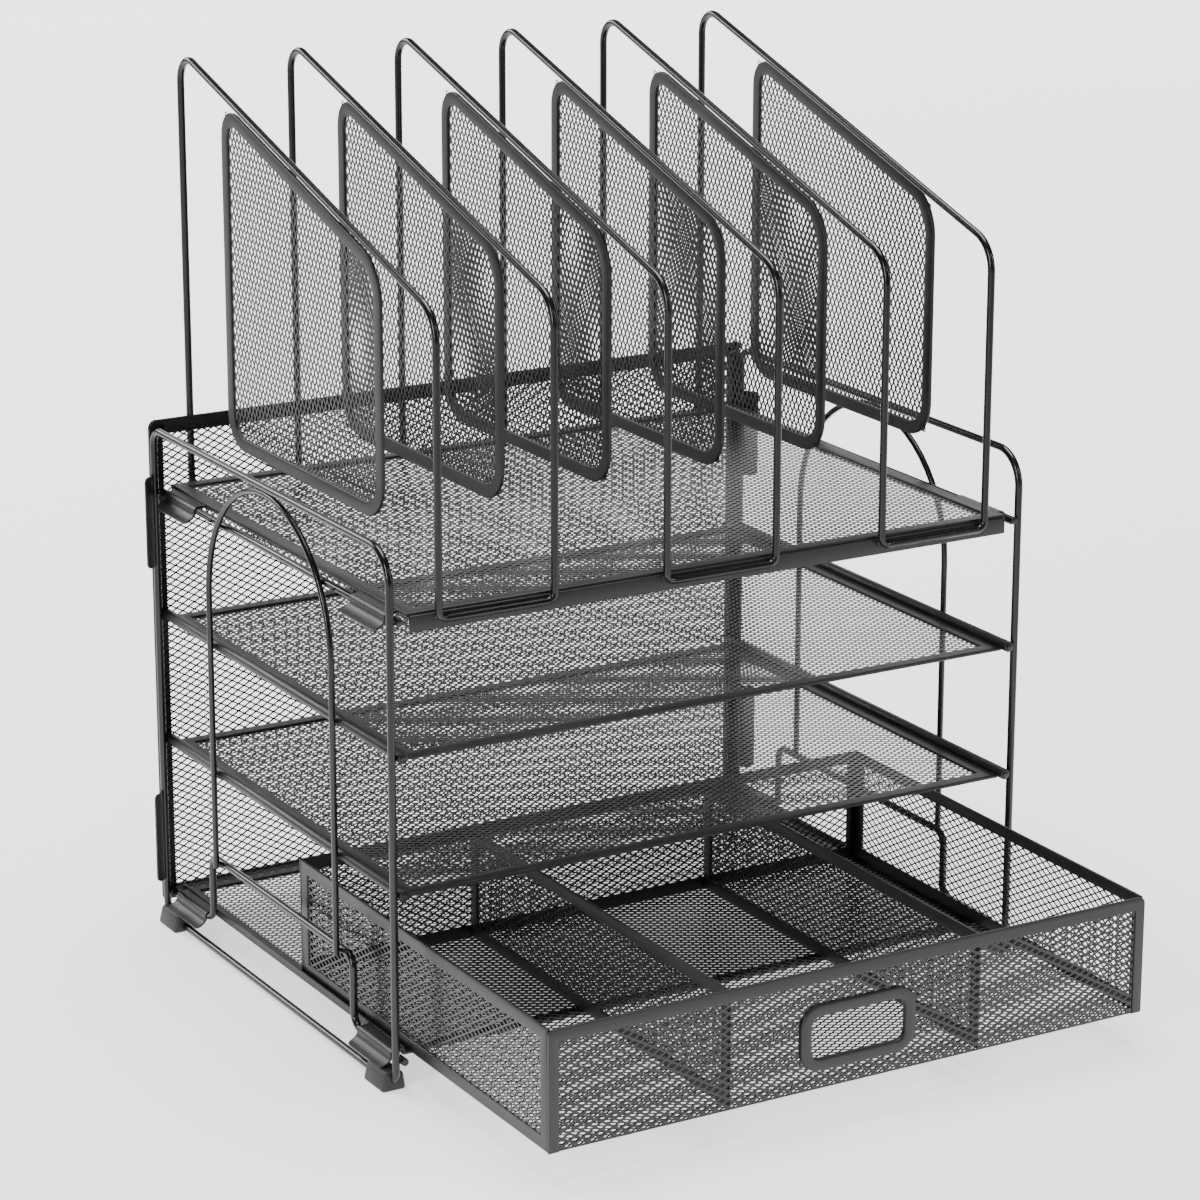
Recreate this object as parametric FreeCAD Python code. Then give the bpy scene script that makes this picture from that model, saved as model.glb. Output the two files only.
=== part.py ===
"""Desk organizer: two wire side frames carry a top shelf with six upright sorter panels,
two paper trays and a base shelf, on which a mesh drawer slides out to the front.

Millimetres. While a piece is being built, X = 0 is the middle of the width, Y = 0 is midway
between the front and rear posts and Z = 0 is the centreline of the bottom rails. The front
is -Y. put() moves every piece so that the origin is bottom centre of the whole object.
"""
import FreeCAD, Part

import math
import os

V = FreeCAD.Vector
os.makedirs("parts", exist_ok=True)

# Driving dimensions: side frames.
FRAME_WIDTH = 330.0  # between the centrelines of the left and right side loops
FRAME_DEPTH = 244.0  # between the centrelines of the front and rear posts
LOOP_TOP = 246.3  # top rail centreline
WIRE = 3.6  # main wire diameter
TOP_BEND = 16.0  # centreline radius of the loop's upper corners
BASE_BEND = 8.0  # centreline radius of the loop's lower corners
WELD = 0.02  # hair gap between two pieces that are welded along a flat
ARCH_WIRE = 3.0  # diameter of the decorative arch
ARCH_INSET = 10.0  # the arch stands this far inside the base rail's front leg
ARCH_FOOT_DROP = 2.0  # the arch's legs end this far below the base rail's top run
RAIL_TOP = 44.5  # top run of the hat-shaped base rail
RAIL_LOW = 11.5  # stub runs of the base rail
RAIL_STUB_FRONT = 48.0  # from the front post to the hat's front leg
RAIL_STUB_REAR = 46.5
RAIL_BEND = 6.5
RAIL_NUB = 2.4  # the stub passes the front post's centre by this much
FOOT_DROP = 3.0  # the feet reach this far below the bottom rail's centreline
FOOT_RISE = 6.0
FOOT_LENGTH = 15.0
FOOT_SETBACK = 6.0  # outer end of a foot, inboard of its post's centreline
FOOT_OUT_TOP = 4.0  # outer face beyond the wire plane, at the top of the foot
FOOT_OUT_LOW = 6.2
FOOT_IN_TOP = 4.6
FOOT_IN_LOW = 6.0
WIRE_SIDES = 8  # the wires are eight-sided bars, flat to flat as wide as the wire
BEND_SAG = 0.2  # the chords of a bend stay this close to its arc
BEND_SNAP = 0.01  # two bends this close follow each other without a straight run

# Driving dimensions: shelves and trays.
SHELF_WIRE_DROP = 31.3  # shelf wire below the loop's top rail
SHELF_GAP = 2.3  # between the edge of a shelf and the wire it hooks over
SHELF_FRONT_OUT = 0.6  # the top shelf's front edge stands out past the front posts' centres
SHELF_REAR_IN = 1.0
SHELF_HEM = 6.5  # width of the folded strip round a shelf
SHELF_HEM_T = 2.0
SHELF_HEM_RISE = 0.5  # the hem's top above the top of the hooks
SHELF_SKIRT = 3.5  # folded-down skirt along the shelf's sides
SKIRT_T = 1.0
UPPER_TRAY_Z = 153.5  # centre of the upper tray's rolled side edges
LOWER_TRAY_Z = 90.0
TRAY_FRONT_IN = 1.0
TRAY_ROLL = 5.2  # outer diameter of a rolled side edge
TRAY_ROD = 3.2  # wire inside the roll
ROLL_OUT = 2.5  # a roll reaches this far past the front post's centre
ROLL_OUT_REAR = 1.5
ROD_PROUD = 0.6  # the rod shows this much at the roll's front end
TRAY_HEM = 6.0
TRAY_HEM_T = 1.8
TRAY_HEM_SINK = 0.6  # the hem's top lies this far under the roll's centre
BASE_FRONT_IN = 8.0
BASE_HEM_TOP = 12.0
BASE_HEM_T = 1.8
BASE_GUIDE_T = 1.2  # upright side guide of the base shelf
HOOK_LENGTH = 33.0
HOOK_T = 1.0
HOOK_SETBACK = 24.5  # a hook's middle, inboard of the post's centre
HOOK_SIDE_RUN = 1.4  # straight flank of the hook beside the wire
HOOK_LIP_OUT = 5.2
HOOK_LIP_DROP = 3.4

# Driving dimensions: back panel.
BACK_OUT = 1.0  # the frame's edge beyond the posts' centres
BACK_OVER = 3.2  # its top edge above the loop's top rail
BACK_BOTTOM = 6.0
BACK_HEM = 7.3
BACK_HEM_T = 2.0
BACK_ROUND = 7.0
CLIP_LENGTH = 45.0
CLIP_SHARES = (0.147, 0.803)  # middles of the clips, as shares of the panel's height

# Driving dimensions: file sorter.
SORTER_WIRE = 3.5
SORTER_PAIRS = 3
SORTER_END = 11.25  # the outermost loops stand this far inside the ends of the bar
SORTER_FOOT_DROP = 1.9  # bottom wires below the bar's top edge
SORTER_FRONT_RISE = 129.7  # where slanted wire and front leg would meet, above the shelf's hem
SORTER_REAR_RISE = 207.0
SORTER_FRONT_BEND = 17.0
SORTER_REAR_BEND = 9.0
SORTER_FOOT_BEND = 4.0
BAR_INSET = 2.9  # each end of the bar inside the edge of the shelf
BAR_DROP = 0.1  # the bar's top under the shelf's folded strip
BAR_HEIGHT = 7.9
BAR_T = 1.4
PANEL_SETBACK_FRONT = 44.0  # the panels' upright edges, inboard of the posts' centres
PANEL_SETBACK_REAR = 42.0
PANEL_RISE = 27.2  # the panels' lower edges above the shelf's hem
PANEL_GAP = 2.8  # top edge below the slanted wire's centreline
PANEL_SIDE = 1.2  # the panel's plane beside its wire's plane
PANEL_HEM = 5.5
PANEL_HEM_T = 1.8
PANEL_ROUND = 10.0
NUB_SHARES = (0.165, 0.544, 0.886)  # the three weld tabs, as shares of the panel's length
NUB_LENGTH = 5.0
NUB_T = 1.6
NUB_BITE = 0.3

# Driving dimensions: drawer.
DRAWER_SIDE_GAP = 1.2  # between the drawer's sides and the base shelf's guides
DRAWER_DEPTH = 235.5
DRAWER_HEIGHT = 56.0
DRAWER_CLEARANCE = 0.2  # between the drawer's floor and the base shelf
DRAWER_OPEN = 120.0  # drawn out this far in the stored pose
DRAWER_SET_BACK = 0.0  # closed front face level with the front posts' centreline
DRAWER_HEM = 6.0
DRAWER_SIDE_HEM = 5.0  # upright strips of the front
DRAWER_HEM_T = 1.8
PARTITION_SHARE = 0.42  # place of each partition, as a share of the drawer's half width
PARTITION_DROP = 0.8  # partitions end this far under the drawer's rim
PULL_LENGTH = 60.0
PULL_HEIGHT = 31.0
PULL_RIM = 5.6
PULL_T = 3.2
PULL_PROUD = 0.8
PULL_ROUND = 10.0
PULL_DROP = 31.5  # its centre below the drawer's rim

# Driving dimensions: mesh sheets.
SHEET_T = 0.6
CELL_FILL = 0.82  # share of a coarse diamond's pitch that is open
CELL_MARGIN = 3.0  # rim of solid sheet inside the folded strip
SHELF_CELLS = (4, 5)  # diamonds across and along a shelf, a tray, the back panel or a drawer floor
WALL_CELLS = (4, 1)
FRONT_CELLS = (6, 1)  # the middle ones give way to the pull
PANEL_CELLS = (4, 2)

# Derived.
half_wide = FRAME_WIDTH / 2
half_deep = FRAME_DEPTH / 2
wire_r = WIRE / 2
inner_x = half_wide - WIRE - WELD  # base rail and shelf wire, welded inside the loops
rail_front = RAIL_STUB_FRONT - half_deep
rail_rear = half_deep - RAIL_STUB_REAR
arch_half = -rail_front - ARCH_INSET
hook_middle = half_deep - HOOK_SETBACK
shelf_wire_z = LOOP_TOP - SHELF_WIRE_DROP
shelf_half = inner_x - wire_r - SHELF_GAP
shelf_front = -half_deep - SHELF_FRONT_OUT
shelf_rear = half_deep - SHELF_REAR_IN
shelf_top = shelf_wire_z + wire_r + HOOK_T + SHELF_HEM_RISE
roll_front = -half_deep - ROLL_OUT
roll_rear = half_deep + ROLL_OUT_REAR
bar_half = shelf_half - BAR_INSET
bar_top = shelf_top - SHELF_HEM_T - BAR_DROP
sorter_foot = bar_top - SORTER_FOOT_DROP
front_apex = shelf_top + SORTER_FRONT_RISE
rear_apex = shelf_top + SORTER_REAR_RISE
panel_front = PANEL_SETBACK_FRONT - half_deep
panel_rear = half_deep - PANEL_SETBACK_REAR
back_y = half_deep + wire_r + WELD  # inner face of the back panel's frame
back_outer = back_y + BACK_HEM_T
front_leg_y = shelf_front - BAR_T - SORTER_WIRE / 2 - WELD
rear_leg_y = back_outer + SORTER_WIRE / 2 + WELD
roll_x = half_wide - wire_r - TRAY_ROLL / 2 - WELD
drawer_half = shelf_half - BASE_GUIDE_T - DRAWER_SIDE_GAP
drawer_floor = BASE_HEM_TOP + DRAWER_CLEARANCE
drawer_top = drawer_floor + DRAWER_HEIGHT
drawer_front = -half_deep - DRAWER_OPEN + DRAWER_SET_BACK
drawer_rear = drawer_front + DRAWER_DEPTH
origin_y = (rear_leg_y + SORTER_WIRE / 2 + drawer_front - PULL_PROUD) / 2
SIDES = (("left", -1), ("right", 1))


def put(name, shape):
    """Move a finished piece to the stored origin and write its file."""
    shape = shape.copy()
    shape.translate(V(0, -origin_y, FOOT_DROP))
    if len(shape.Solids) == 1:
        shape = shape.Solids[0]
    shape.exportStep("parts/" + name + ".step")


def corner(before, here, after, radius):
    """Tangent arc at a corner: entry point, leaving point, centre and turning axis."""
    back = (before - here).normalize()
    ahead = (after - here).normalize()
    half = back.getAngle(ahead) / 2
    reach = radius / math.tan(half)
    bisector = (back + ahead).normalize()
    centre = here + bisector * (radius / math.sin(half))
    axis = ahead.cross(back).normalize()
    return here + back * reach, here + ahead * reach, centre, axis


def spread(points, radii):
    """One radius for each point."""
    return radii if isinstance(radii, (list, tuple)) else [radii] * len(points)


def rounded(points, radii):
    """Edges of a closed outline whose corners are turned into tangent arcs."""
    count = len(points)
    radii = spread(points, radii)
    entry, leave, arcs = list(points), list(points), [None] * count
    for i in range(count):
        if radii[i]:
            following = points[(i + 1) % count]
            entry[i], leave[i], centre, _ = corner(points[i - 1], points[i], following, radii[i])
            middle = centre + (points[i] - centre).normalize() * radii[i]
            arcs[i] = Part.Arc(entry[i], middle, leave[i]).toShape()
    edges = []
    for i in range(count):
        j = (i + 1) % count
        edges.append(Part.makeLine(leave[i], entry[j]))
        if arcs[j]:
            edges.append(arcs[j])
    return edges


def section(middle, direction, flat, diameter):
    """Eight-sided outline across a wire, one of its flats turned to the direction flat."""
    beside = direction.cross(flat).normalize() * (diameter / 2)
    above = flat * (diameter / 2)
    slant = 1 / math.cos(math.pi / WIRE_SIDES)
    turns = [(2 * k + 1) * math.pi / WIRE_SIDES for k in range(WIRE_SIDES)]
    corners = [middle + above * (slant * math.cos(t)) + beside * (slant * math.sin(t)) for t in turns]
    return Part.makePolygon(corners + corners[:1])


def rod(points, radii, diameter, closed=False):
    """A bent wire: a ruled loft through sections, which each bend turns round its corner's axis."""
    count = len(points)
    radii = spread(points, radii)
    flat = corner(points[-1], points[0], points[1], radii[0])[3] if closed else V(1, 0, 0)
    leave = points[0]
    sections = [] if closed else [section(points[0], points[1] - points[0], flat, diameter)]
    for i in range(count) if closed else range(1, count - 1):
        following = points[(i + 1) % count]
        ahead = points[i] - points[i - 1]
        turn = ahead.getAngle(following - points[i])
        chords = math.ceil(turn / (2 * math.acos(1 - BEND_SAG / radii[i])))
        last_leave = leave
        entry, leave, centre, axis = corner(points[i - 1], points[i], following, radii[i])
        first = section(entry, ahead, flat, diameter)
        for k in range(1 if (entry - last_leave).Length < BEND_SNAP else 0, chords + 1):
            turned = first.copy()
            turned.rotate(centre, axis, math.degrees(turn * k / chords))
            sections.append(turned)
        flat = FreeCAD.Rotation(axis, math.degrees(turn)).multVec(flat)
    if not closed:
        sections.append(section(points[-1], points[-1] - points[-2], flat, diameter))
    return Part.makeLoft(sections, True, True, closed)


def box(x0, x1, y0, y1, z0, z1):
    return Part.makeBox(x1 - x0, y1 - y0, z1 - z0, V(x0, y0, z0))


def closed_wire(points, radii):
    if not radii:
        return Part.makePolygon(points + [points[0]])
    return Part.Wire(rounded(points, radii))


def inset(points, normal, amounts):
    """Corners of a convex outline moved inwards, one amount for each edge i to i + 1."""
    count = len(points)
    moved = []
    for i in range(count):
        before = (points[i] - points[i - 1]).normalize()
        after = (points[(i + 1) % count] - points[i]).normalize()
        in_before = normal.cross(before) * amounts[i - 1]
        in_after = normal.cross(after)
        slide = (amounts[i] - in_before.dot(in_after)) / before.dot(in_after)
        moved.append(points[i] + in_before + before * slide)
    return moved


def slab(outer, holes, normal, thickness):
    """A flat plate centred on the plane of its outline, with holes."""
    face = Part.makeFace([outer] + holes, "Part::FaceMakerBullseye") if holes else Part.Face(outer)
    face.translate(normal * (-thickness / 2))
    return face.extrude(normal * thickness)


def hem_ring(points, normal, widths, radius, thickness):
    """The folded strip round a sheet: outer outline, inner outline, extruded."""
    inner = inset(points, normal, widths)
    return slab(closed_wire(points, radius), [closed_wire(inner, 0)], normal, thickness)


def diamonds(points, normal, cells, keep_out=None):
    """Staggered diamond cut-outs, fitted between the four sides of an outline."""
    low_a, low_b, high_b, high_a = inset(points, normal, [CELL_MARGIN] * len(points))
    columns, rows = cells
    step_u = 1 / (columns - 1 + CELL_FILL)
    step_v = 1 / (rows - 1 + CELL_FILL)

    def at(u, v):
        low = low_a + (low_b - low_a) * u
        return low + (high_a + (high_b - high_a) * u - low) * v

    half_u = step_u * CELL_FILL / 2
    half_v = step_v * CELL_FILL / 2
    found = []
    for row in range(2 * rows - 1):
        for column in range(row % 2, 2 * columns - 1, 2):
            u = half_u + step_u * column / 2
            v = half_v + step_v * row / 2
            wire = closed_wire([at(u - half_u, v), at(u, v - half_v), at(u + half_u, v), at(u, v + half_v)], 0)
            if not keep_out or wire.distToShape(keep_out)[0] > CELL_MARGIN:
                found.append(wire)
    return found


def sheet(points, normal, cells, widths):
    """Mesh sheet that fills a hem ring."""
    inner = inset(points, normal, widths)
    return slab(closed_wire(inner, 0), diamonds(inner, normal, cells), normal, SHEET_T)


def flat(x, y0, y1, z):
    """Corners of a level rectangle, counter-clockwise seen from above."""
    return [V(-x, y0, z), V(x, y0, z), V(x, y1, z), V(-x, y1, z)]


def hook(centre, out, up, length, lead):
    """Sheet clip that rolls over a wire, runs down beside it and flares out in a lip."""
    along = out.cross(up)
    radius_in = wire_r
    radius_out = wire_r + HOOK_T
    bevel = math.tan(math.pi / WIRE_SIDES)
    start = centre - along * (length / 2)

    def at(o, u):
        return start + out * o + up * u

    lip_o = radius_in + HOOK_LIP_OUT
    lip_u = -HOOK_SIDE_RUN - HOOK_LIP_DROP
    points = [
        at(-lead, radius_in), at(-lead, radius_out), at(radius_out * bevel, radius_out),
        at(radius_out, radius_out * bevel), at(radius_out, -HOOK_SIDE_RUN), at(lip_o + HOOK_T, lip_u),
        at(lip_o, lip_u - HOOK_T / 2), at(radius_in, -HOOK_SIDE_RUN - HOOK_T / 2),
        at(radius_in, radius_in * bevel), at(radius_in * bevel, radius_in),
    ]
    return Part.Face(closed_wire(points, 0)).extrude(along * length)


def join(shapes):
    return shapes[0].multiFuse(shapes[1:]).removeSplitter()


# Side frames: closed loop, arch, shelf wire, tray rods and base rail on each side.
loops = {}
for side, sign in SIDES:
    x = sign * half_wide
    corners = [V(x, -half_deep, 0), V(x, half_deep, 0), V(x, half_deep, LOOP_TOP), V(x, -half_deep, LOOP_TOP)]
    loops[side] = rod(corners, [BASE_BEND, BASE_BEND, TOP_BEND, TOP_BEND], WIRE, True)
    put(side + "_frame_loop", loops[side])

    ax = sign * (inner_x + wire_r + ARCH_WIRE / 2 + WELD)
    crown = LOOP_TOP - wire_r - ARCH_WIRE / 2 - WELD
    foot_z = RAIL_TOP - ARCH_FOOT_DROP
    arch_plan = [
        V(ax, -arch_half, foot_z), V(ax, -arch_half, crown),
        V(ax, arch_half, crown), V(ax, arch_half, foot_z),
    ]
    put(side + "_arch", rod(arch_plan, arch_half, ARCH_WIRE))

    rx = sign * inner_x
    stub_front = -half_deep - RAIL_NUB
    rail = [
        V(rx, stub_front, RAIL_LOW), V(rx, rail_front, RAIL_LOW), V(rx, rail_front, RAIL_TOP),
        V(rx, rail_rear, RAIL_TOP), V(rx, rail_rear, RAIL_LOW), V(rx, half_deep, RAIL_LOW),
    ]
    put(side + "_base_rail", rod(rail, RAIL_BEND, WIRE))
    shelf_wire = [V(rx, stub_front, shelf_wire_z), V(rx, half_deep, shelf_wire_z)]
    put(side + "_shelf_wire", rod(shelf_wire, 0, WIRE))
    for tray, z in (("upper", UPPER_TRAY_Z), ("lower", LOWER_TRAY_Z)):
        ends = [V(sign * roll_x, roll_front - ROD_PROUD, z), V(sign * roll_x, roll_rear, z)]
        put(side + "_" + tray + "_tray_rod", rod(ends, 0, TRAY_ROD))

# Feet: moulded blocks round the bottom rail, flared outwards.
for side, sign in SIDES:
    for end, way in (("front", -1), ("rear", 1)):
        outer = way * (half_deep - FOOT_SETBACK)
        profile = [
            V(sign * (half_wide + FOOT_OUT_TOP), outer, FOOT_RISE),
            V(sign * (half_wide - FOOT_IN_TOP), outer, FOOT_RISE),
            V(sign * (half_wide - FOOT_IN_LOW), outer, -FOOT_DROP),
            V(sign * (half_wide + FOOT_OUT_LOW), outer, -FOOT_DROP),
        ]
        block = Part.Face(closed_wire(profile, 0)).extrude(V(0, -way * FOOT_LENGTH, 0))
        put(end + "_" + side + "_foot", block.cut(loops[side]))

# Paper trays: mesh sheet, hemmed strip and side edges rolled round the rods.
for tray, z in (("upper", UPPER_TRAY_Z), ("lower", LOWER_TRAY_Z)):
    reach = roll_x - TRAY_ROD / 2 - (TRAY_ROLL - TRAY_ROD) / 4
    outline = flat(reach, TRAY_FRONT_IN - half_deep, shelf_rear, z - TRAY_HEM_SINK - TRAY_HEM_T / 2)
    hems = [TRAY_HEM, TRAY_HEM + reach - shelf_half, TRAY_HEM, TRAY_HEM + reach - shelf_half]
    rim = [hem_ring(outline, V(0, 0, 1), hems, 0, TRAY_HEM_T)]
    rolls = [[V(sign * roll_x, roll_front, z), V(sign * roll_x, roll_rear, z)] for sign in (-1, 1)]
    rim += [rod(roll, 0, TRAY_ROLL) for roll in rolls]
    rim = join(rim)
    for roll in rolls:
        rim = rim.cut(rod(roll, 0, TRAY_ROD))
    put(tray + "_tray_rim", rim)
    put(tray + "_tray_mesh", sheet(outline, V(0, 0, 1), SHELF_CELLS, hems))

# Top shelf: hemmed mesh with skirts, hooked over the shelf wires.
outline = flat(shelf_half, shelf_front, shelf_rear, shelf_top - SHELF_HEM_T / 2)
hems = [SHELF_HEM] * 4
shelf_rim = [hem_ring(outline, V(0, 0, 1), hems, 0, SHELF_HEM_T)]
skirt_top = shelf_top - SHELF_HEM_T
for sign in (-1, 1):
    x0, x1 = sorted((sign * shelf_half, sign * (shelf_half - SKIRT_T)))
    shelf_rim.append(box(x0, x1, shelf_front, shelf_rear, skirt_top - SHELF_SKIRT, skirt_top))
put("top_shelf_rim", join(shelf_rim))
put("top_shelf_mesh", sheet(outline, V(0, 0, 1), SHELF_CELLS, hems))

# Base shelf: hemmed mesh with upright guides, hooked over the base rails.
base_mid = BASE_HEM_TOP - BASE_HEM_T / 2
base_front = BASE_FRONT_IN - half_deep
outline = flat(shelf_half, base_front, shelf_rear, base_mid)
base_rim = [hem_ring(outline, V(0, 0, 1), hems, 0, BASE_HEM_T)]
guide_top = RAIL_LOW + wire_r + HOOK_T
for sign in (-1, 1):
    x0, x1 = sorted((sign * shelf_half, sign * (shelf_half - BASE_GUIDE_T)))
    base_rim.append(box(x0, x1, base_front, shelf_rear, BASE_HEM_TOP - BASE_HEM_T, guide_top))
put("base_shelf_rim", join(base_rim))
put("base_shelf_mesh", sheet(outline, V(0, 0, 1), SHELF_CELLS, hems))

# Hooks of both shelves.
for shelf, z in (("top", shelf_wire_z), ("base", RAIL_LOW)):
    hooks = []
    for side, sign in SIDES:
        for middle in (-hook_middle, hook_middle):
            centre = V(sign * inner_x, middle, z)
            hooks.append(hook(centre, V(sign, 0, 0), V(0, 0, 1), HOOK_LENGTH, inner_x - shelf_half))
    put(shelf + "_shelf_hooks", Part.Compound(hooks))

# Back panel: mesh in a folded frame, clipped round the rear posts.
y_mid = back_y + BACK_HEM_T / 2
FRONTWARDS = V(0, -1, 0)
back_half = half_wide + BACK_OUT
back_top = LOOP_TOP + BACK_OVER
outline = [
    V(-back_half, y_mid, BACK_BOTTOM), V(back_half, y_mid, BACK_BOTTOM),
    V(back_half, y_mid, back_top), V(-back_half, y_mid, back_top),
]
hems = [BACK_HEM] * 4
back_frame = hem_ring(outline, FRONTWARDS, hems, BACK_ROUND, BACK_HEM_T)
put("back_panel_frame", back_frame)
put("back_panel_mesh", sheet(outline, FRONTWARDS, SHELF_CELLS, hems))
clips = []
for side, sign in SIDES:
    for share in CLIP_SHARES:
        centre = V(sign * half_wide, half_deep, BACK_BOTTOM + share * (back_top - BACK_BOTTOM))
        clip = hook(centre, V(sign, 0, 0), V(0, 1, 0), CLIP_LENGTH, 0)
        clips.append(clip.cut(back_frame))
put("back_panel_clips", Part.Compound(clips))

# Sorter: three closed wire loops, each holding two slanted dividers.
pitch = 2 * (bar_half - SORTER_END) / (2 * SORTER_PAIRS - 1)
places = [(k - (2 * SORTER_PAIRS - 1) / 2) * pitch for k in range(2 * SORTER_PAIRS)]
for pair in range(SORTER_PAIRS):
    xa, xb = places[2 * pair], places[2 * pair + 1]
    corners = [
        V(xa, front_leg_y, sorter_foot), V(xa, front_leg_y, front_apex),
        V(xa, rear_leg_y, rear_apex), V(xa, rear_leg_y, sorter_foot),
        V(xb, rear_leg_y, sorter_foot), V(xb, rear_leg_y, rear_apex),
        V(xb, front_leg_y, front_apex), V(xb, front_leg_y, sorter_foot),
    ]
    bends = [SORTER_FOOT_BEND, SORTER_FRONT_BEND, SORTER_REAR_BEND, SORTER_FOOT_BEND]
    put("sorter_loop_" + str(pair + 1), rod(corners, bends + bends[::-1], SORTER_WIRE, True))
put("sorter_front_bar", box(-bar_half, bar_half, shelf_front - BAR_T, shelf_front, bar_top - BAR_HEIGHT, bar_top))

# Sorter panels: mesh in a hemmed frame, tacked under the slanted wire.
slope = (rear_apex - front_apex) / (rear_leg_y - front_leg_y)
run = V(0, 1, slope).normalize()
lift = V(0, -run.z, run.y)


def slanted(y, below):
    """Height of a line parallel to the slanted wire, a distance below it."""
    return front_apex + slope * (y - front_leg_y) - below / run.y


panel_bottom = shelf_top + PANEL_RISE
nub_places = [panel_front + share * (panel_rear - panel_front) for share in NUB_SHARES]
hems = [PANEL_HEM] * 4
for k, place in enumerate(places):
    beside = -1 if k % 2 == 0 else 1
    x = place + beside * PANEL_SIDE
    outline = [
        V(x, panel_front, panel_bottom), V(x, panel_rear, panel_bottom),
        V(x, panel_rear, slanted(panel_rear, PANEL_GAP)), V(x, panel_front, slanted(panel_front, PANEL_GAP)),
    ]
    frame = [hem_ring(outline, V(1, 0, 0), hems, PANEL_ROUND, PANEL_HEM_T)]
    reach = PANEL_GAP - SORTER_WIRE / 2 - WELD
    for y in nub_places:
        tab = Part.makeBox(NUB_T, NUB_LENGTH, reach + NUB_BITE)
        tab.translate(V(-NUB_T / 2, -NUB_LENGTH / 2, -NUB_BITE))
        turn = FreeCAD.Rotation(V(0, 1, 0), run)
        tab.Placement = FreeCAD.Placement(V(x, y, slanted(y, PANEL_GAP)), turn).multiply(tab.Placement)
        frame.append(tab)
    put("sorter_panel_frame_" + str(k + 1), join(frame))
    put("sorter_panel_mesh_" + str(k + 1), sheet(outline, V(1, 0, 0), PANEL_CELLS, hems))

# Drawer: front with its finger pull.
front_mid = drawer_front + DRAWER_HEM_T / 2
pull_z = drawer_top - PULL_DROP
front_outline = [
    V(-drawer_half, front_mid, drawer_floor), V(drawer_half, front_mid, drawer_floor),
    V(drawer_half, front_mid, drawer_top), V(-drawer_half, front_mid, drawer_top),
]
front_hems = [0.0, DRAWER_SIDE_HEM, DRAWER_HEM, DRAWER_SIDE_HEM]
window = inset(front_outline, FRONTWARDS, front_hems)


def pull_outline(rim):
    """Rounded rectangle of the finger pull, a rim's width inside the outer one."""
    long_half = PULL_LENGTH / 2 - rim
    high_half = PULL_HEIGHT / 2 - rim
    corners = [
        V(-long_half, front_mid, pull_z - high_half), V(long_half, front_mid, pull_z - high_half),
        V(long_half, front_mid, pull_z + high_half), V(-long_half, front_mid, pull_z + high_half),
    ]
    return closed_wire(corners, PULL_ROUND - rim * (PULL_HEIGHT / PULL_LENGTH))


plate = slab(closed_wire(front_outline, 0), [], FRONTWARDS, DRAWER_HEM_T)
opening = slab(closed_wire(window, 0), [], FRONTWARDS, DRAWER_HEM_T)
put("drawer_front_frame", plate.cut(opening))
pull_edge = pull_outline(0)
holes = diamonds(window, FRONTWARDS, FRONT_CELLS, Part.Face(pull_edge))
put("drawer_front_mesh", slab(closed_wire(window, 0), [pull_edge] + holes, FRONTWARDS, SHEET_T))
pull = slab(pull_edge, [pull_outline(PULL_RIM)], FRONTWARDS, PULL_T)
pull.translate(V(0, PULL_T / 2 - DRAWER_HEM_T / 2 - PULL_PROUD, 0))
put("drawer_pull", pull)

# Drawer: side walls, rear wall, partitions and floor.
wall_front = drawer_front + DRAWER_HEM_T
wall_rear = drawer_rear - DRAWER_HEM_T
hems = [DRAWER_HEM] * 4


def upright(x, z0, z1):
    """Corners of an upright rectangle between the drawer's front and rear walls."""
    return [V(x, wall_front, z0), V(x, wall_rear, z0), V(x, wall_rear, z1), V(x, wall_front, z1)]


for side, sign in SIDES:
    outline = upright(sign * (drawer_half - DRAWER_HEM_T / 2), drawer_floor, drawer_top)
    put("drawer_" + side + "_frame", hem_ring(outline, V(1, 0, 0), hems, 0, DRAWER_HEM_T))
    put("drawer_" + side + "_mesh", sheet(outline, V(1, 0, 0), WALL_CELLS, hems))
    outline = upright(sign * PARTITION_SHARE * drawer_half, drawer_floor + SHEET_T, drawer_top - PARTITION_DROP)
    put("drawer_" + side + "_partition_frame", hem_ring(outline, V(1, 0, 0), hems, 0, DRAWER_HEM_T))
    put("drawer_" + side + "_partition_mesh", sheet(outline, V(1, 0, 0), WALL_CELLS, hems))
rear_mid = drawer_rear - DRAWER_HEM_T / 2
outline = [
    V(-drawer_half, rear_mid, drawer_floor), V(drawer_half, rear_mid, drawer_floor),
    V(drawer_half, rear_mid, drawer_top), V(-drawer_half, rear_mid, drawer_top),
]
put("drawer_rear_frame", hem_ring(outline, FRONTWARDS, hems, 0, DRAWER_HEM_T))
put("drawer_rear_mesh", sheet(outline, FRONTWARDS, WALL_CELLS, hems))
outline = flat(drawer_half - DRAWER_HEM_T, wall_front, wall_rear, drawer_floor + SHEET_T / 2)
floor = slab(closed_wire(outline, 0), diamonds(outline, V(0, 0, 1), SHELF_CELLS), V(0, 0, 1), SHEET_T)
put("drawer_floor_mesh", floor)
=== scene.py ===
"""Desk organizer of black powder-coated wire and expanded steel mesh, with a drawer.

Metres, in the place and turn of the stored model: front towards -Y, floor at Z = 0.
"""

import math

import bmesh
import bpy
from mathutils import Matrix, Vector


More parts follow.
